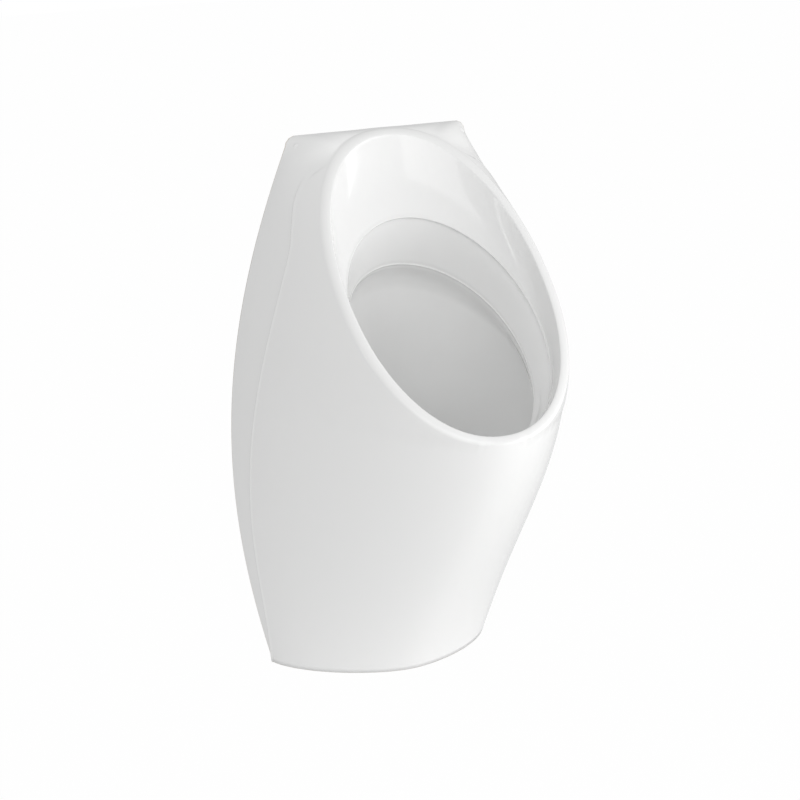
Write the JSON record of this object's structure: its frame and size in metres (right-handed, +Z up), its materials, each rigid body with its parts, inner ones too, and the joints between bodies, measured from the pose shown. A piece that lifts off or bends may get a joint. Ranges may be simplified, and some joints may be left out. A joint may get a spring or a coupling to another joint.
{
  "type": "wall hung urinal",
  "caption": "Wall hung urinal: glazed shell with sloping oval mouth, splash back, box rim and bowl; lift-out strainer, rear water inlet, concealed bottle trap, wall hangers.",
  "frame": {"origin": "on the wall plane, at the middle of the shell's lower edge", "axes": "+X to the right seen from the front, +Y into the wall (the front looks along -Y), +Z up"},
  "size_m": [0.3342, 0.3577, 0.575],
  "materials": {
    "glazed_china": "gloss",
    "brass": "satin",
    "chromed_brass": "polished",
    "stainless_steel": "satin",
    "zinc_plated_steel": "satin",
    "black_rubber": "matte",
    "red_fibre": "matte",
    "white_plastic": "satin",
    "grey_nylon": "matte"
  },
  "bodies": {
    "root": {"ceramic_body": "glazed_china", "inlet_connector": "brass", "inlet_flat_seal": "red_fibre", "inlet_lip_seal": "black_rubber", "inlet_spreader": "white_plastic", "waste_flange": "chromed_brass", "waste_upper_seal": "black_rubber", "waste_lower_seal": "black_rubber", "waste_slip_washer": "white_plastic", "waste_backnut": "chromed_brass", "dip_tube": "white_plastic", "trap_top_seal": "black_rubber", "trap_top_nut": "white_plastic", "trap_body": "white_plastic", "outlet_pipe": "white_plastic", "outlet_cone_seal": "black_rubber", "outlet_nut": "white_plastic", "outlet_wall_sleeve": "black_rubber", "hanger_bracket_right": "zinc_plated_steel", "hanger_bracket_left": "zinc_plated_steel", "hanger_pads": "grey_nylon", "hanger_screws": "zinc_plated_steel", "hanger_washers": "zinc_plated_steel", "hanger_wall_plugs": "grey_nylon", "lower_studs": "zinc_plated_steel", "lower_stud_plugs": "grey_nylon", "lower_stud_bushes": "white_plastic", "lower_stud_washers": "zinc_plated_steel", "lower_stud_nuts": "zinc_plated_steel"},
    "strainer": {"strainer": "stainless_steel"},
    "cup_seal": {"trap_cup_seal": "black_rubber"},
    "cup": {"trap_cup": "white_plastic"}
  },
  "joints": [
    {"name": "strainer_lift", "type": "slide", "parent": "root", "child": "strainer", "axis": [0, 0, 1], "range_m": [0, 0.12]},
    {"name": "cup_drop", "type": "slide", "parent": "root", "child": "cup_seal", "axis": [0, 0, 1], "range_m": [-0.014, 0]},
    {"name": "cup_turn", "type": "hinge", "parent": "cup_seal", "child": "cup", "pos_m": [0, -0.072, 0.07], "axis": [0, 0, 1], "range_deg": [-1260, 0]}
  ],
  "couplings": [
    {"joint": "cup_turn", "follows": "cup_drop", "rad_per_m": 1570.8}
  ]
}
